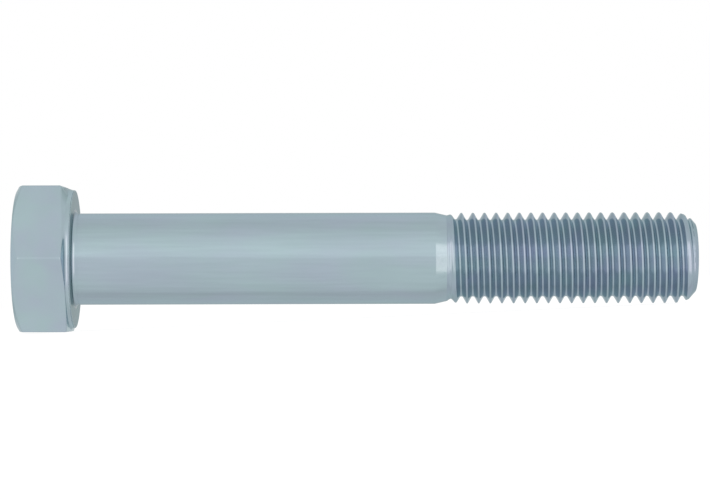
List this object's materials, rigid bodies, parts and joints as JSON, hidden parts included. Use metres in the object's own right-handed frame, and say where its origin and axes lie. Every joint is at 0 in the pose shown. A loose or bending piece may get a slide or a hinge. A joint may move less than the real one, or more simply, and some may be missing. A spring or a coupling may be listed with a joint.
{
  "type": "hex bolt",
  "caption": "Partly threaded hexagon head bolt with a washer face, plain shank, necked run-out, fine right-hand metric thread and chamfered point.",
  "frame": {"origin": "centre of the bearing face, on the bolt's axis", "axes": "+X along the bolt's axis from the head to the tip, +Z out of one flat of the hexagon, +Y towards a corner of the hexagon"},
  "size_m": [0.0874, 0.0216, 0.0188],
  "materials": {
    "head_zinc": "bright zinc plate with a blue passivation, satin, on a forged face",
    "shank_zinc": "bright zinc plate with a blue passivation, satin, on a drawn round",
    "thread_zinc": "bright zinc plate with a blue passivation, brighter and faintly iridescent, on rolled flanks"
  },
  "bodies": {
    "root": {"hex_head": "head_zinc", "washer_face": "head_zinc", "underhead_fillet": "shank_zinc", "shank": "shank_zinc", "thread_neck": "shank_zinc", "thread": "thread_zinc", "thread_point": "thread_zinc"}
  },
  "joints": []
}
